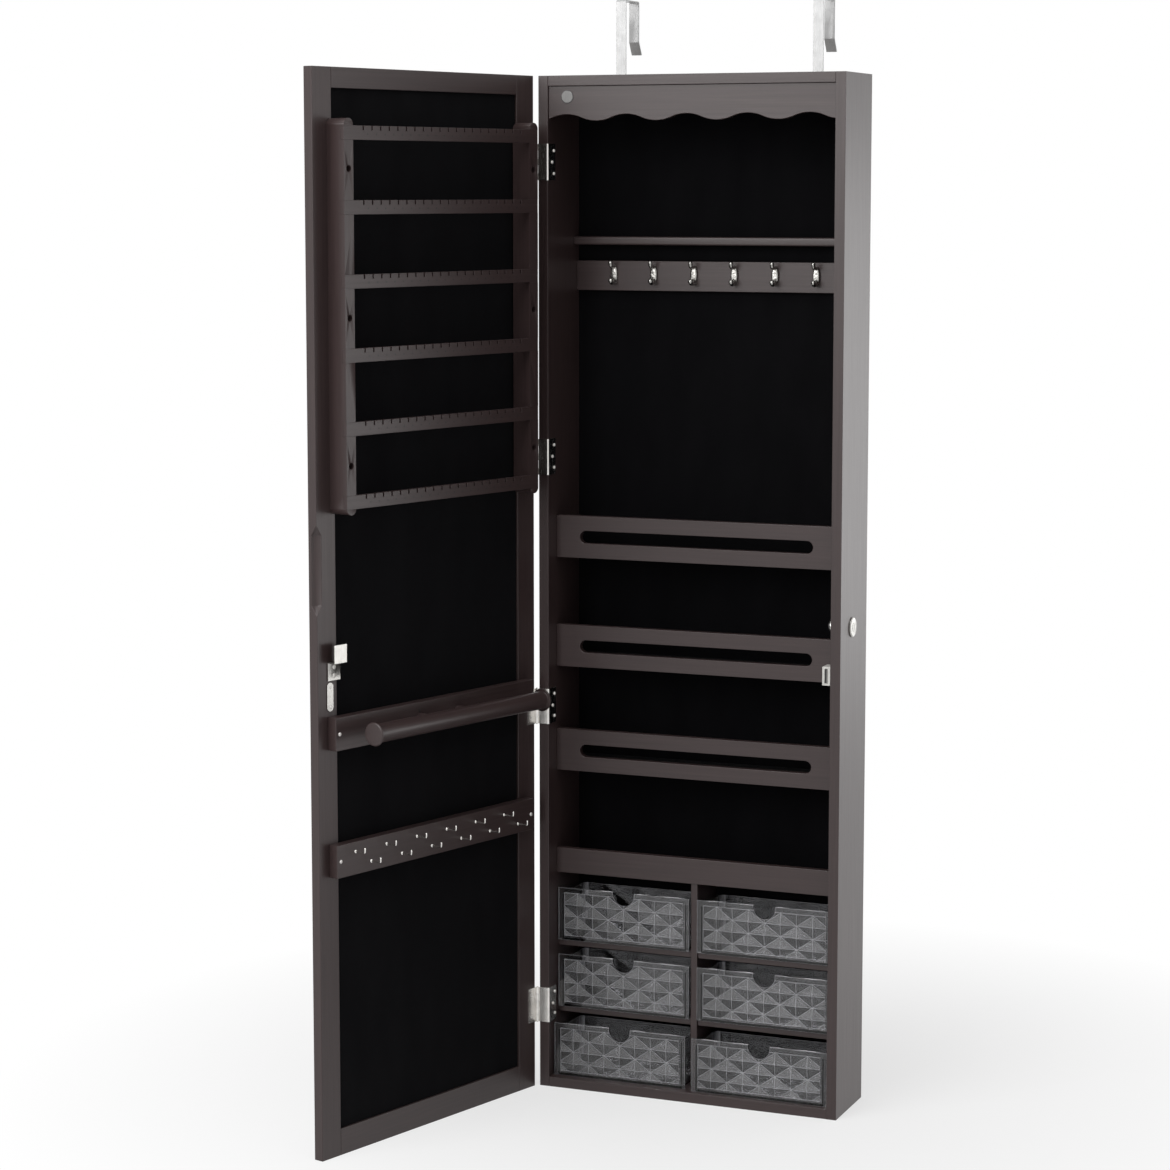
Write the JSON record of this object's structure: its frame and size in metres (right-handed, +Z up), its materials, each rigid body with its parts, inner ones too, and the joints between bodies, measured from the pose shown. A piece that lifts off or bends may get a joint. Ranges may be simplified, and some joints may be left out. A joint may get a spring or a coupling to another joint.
{
  "type": "jewelry mirror cabinet",
  "caption": "Slim over-the-door jewelry cabinet: a mirrored door with earring bars, a rod and hooks opens on railed shelves, coat hooks and clear drawers.",
  "frame": {"origin": "centre of the cabinet's back face", "axes": "+X to the right seen from the front, +Y to the wall behind, +Z up"},
  "size_m": [0.4944, 0.5095, 1.2906],
  "materials": {
    "dark_wood": "satin lacquer",
    "black_lining": "velvet",
    "back_board": "matte",
    "nickel": "satin nickel plate",
    "smoked_acrylic": "clear, faceted front",
    "catch_plastic": "matte",
    "mirror": "silvered"
  },
  "bodies": {
    "cabinet": {"side_left": "dark_wood", "side_right": "dark_wood", "top_board": "dark_wood", "bottom_board": "dark_wood", "back_panel": "back_board", "back_lining": "black_lining", "valance": "dark_wood", "valance_disc": "nickel", "ledge": "black_lining", "coat_hook_board": "black_lining", "coat_hooks": "nickel", "upper_shelf": "black_lining", "middle_shelf": "black_lining", "lower_shelf": "black_lining", "upper_rail": "dark_wood", "middle_rail": "dark_wood", "lower_rail": "dark_wood", "drawer_bay_top": "black_lining", "plain_rail": "dark_wood", "drawer_divider": "dark_wood", "drawer_shelves": "dark_wood", "magnet_catch": "catch_plastic", "lock_housing": "nickel", "lock_nut": "nickel", "hinge_frame_leaves": "nickel", "hinge_pins": "nickel", "hanger_left": "nickel", "hanger_right": "nickel"},
    "door": {"door_hinge_stile": "dark_wood", "door_free_stile": "dark_wood", "door_top_rail": "dark_wood", "door_bottom_rail": "dark_wood", "mirror": "mirror", "door_backing": "back_board", "door_lining": "black_lining", "rack_uprights": "dark_wood", "earring_bar_1": "dark_wood", "earring_bar_2": "dark_wood", "earring_bar_3": "dark_wood", "earring_bar_4": "dark_wood", "earring_bar_5": "dark_wood", "earring_bar_6": "dark_wood", "rod_board": "dark_wood", "scarf_rod": "dark_wood", "rod_posts": "dark_wood", "small_hook_board": "dark_wood", "small_hooks": "nickel", "keeper": "nickel", "strike_plate": "nickel", "hinge_door_leaves": "nickel"},
    "bottom_left": {"drawer_bottom_left": "smoked_acrylic"},
    "middle_left": {"drawer_middle_left": "smoked_acrylic"},
    "top_left": {"drawer_top_left": "smoked_acrylic"},
    "bottom_right": {"drawer_bottom_right": "smoked_acrylic"},
    "middle_right": {"drawer_middle_right": "smoked_acrylic"},
    "top_right": {"drawer_top_right": "smoked_acrylic"},
    "lock": {"lock_plug": "nickel", "lock_cam": "nickel"}
  },
  "joints": [
    {"name": "door_hinge", "type": "hinge", "parent": "cabinet", "child": "door", "pos_m": [-0.1887, -0.1, 0], "axis": [0, 0, -1], "range_deg": [-106.2, 73.8]},
    {"name": "bottom_left_slide", "type": "slide", "parent": "cabinet", "child": "bottom_left", "axis": [0, -1, 0], "range_m": [-0.0125, 0.0425]},
    {"name": "middle_left_slide", "type": "slide", "parent": "cabinet", "child": "middle_left", "axis": [0, -1, 0], "range_m": [0, 0.055]},
    {"name": "top_left_slide", "type": "slide", "parent": "cabinet", "child": "top_left", "axis": [0, -1, 0], "range_m": [0, 0.055]},
    {"name": "bottom_right_slide", "type": "slide", "parent": "cabinet", "child": "bottom_right", "axis": [0, -1, 0], "range_m": [-0.0165, 0.0385]},
    {"name": "middle_right_slide", "type": "slide", "parent": "cabinet", "child": "middle_right", "axis": [0, -1, 0], "range_m": [0, 0.055]},
    {"name": "top_right_slide", "type": "slide", "parent": "cabinet", "child": "top_right", "axis": [0, -1, 0], "range_m": [0, 0.055]},
    {"name": "lock_turn", "type": "hinge", "parent": "cabinet", "child": "lock", "pos_m": [0.186, -0.0566, -0.0293], "axis": [1, 0, 0], "range_deg": [0, 90]}
  ]
}
